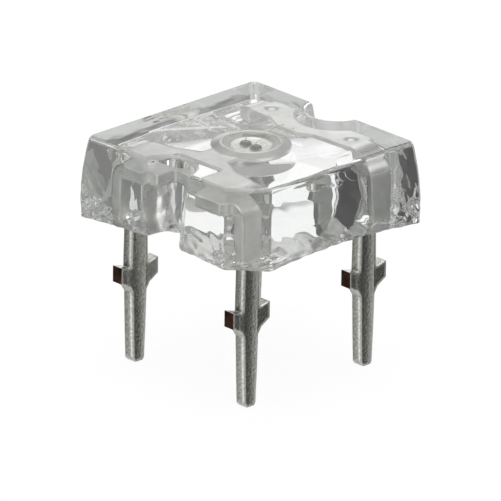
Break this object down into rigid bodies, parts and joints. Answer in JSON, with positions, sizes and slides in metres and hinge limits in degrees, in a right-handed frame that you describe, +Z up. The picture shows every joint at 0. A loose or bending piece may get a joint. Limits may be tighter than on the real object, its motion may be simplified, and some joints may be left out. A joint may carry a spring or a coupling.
{
  "type": "piranha led",
  "caption": "Square through-hole LED with a clear flat-topped notched body over a reflector cup, on flat leads with standoff tabs.",
  "frame": {"origin": "centre of the lead grid on the surface that the lead tips stand on", "axes": "+Z up through the clear flat top; the chamfered corner is at -X -Y; the cathode frame is on the -X side and the notches are in the -X and +X walls"},
  "size_m": [0.0078, 0.0078, 0.0076],
  "materials": {
    "clear_epoxy": "water-clear cast epoxy",
    "tinned_sheet": "bright tin plate over stamped copper alloy",
    "chip": "dark sawn semiconductor",
    "silver_glue": "silver-filled epoxy glue",
    "gold_wire": "bare gold wire"
  },
  "bodies": {
    "root": {"epoxy_body": "clear_epoxy", "cathode_frame": "tinned_sheet", "anode_frame": "tinned_sheet", "led_chip_1": "chip", "led_chip_2": "chip", "die_attach_1": "silver_glue", "die_attach_2": "silver_glue", "bond_wire_1": "gold_wire", "bond_wire_2": "gold_wire"}
  },
  "joints": []
}
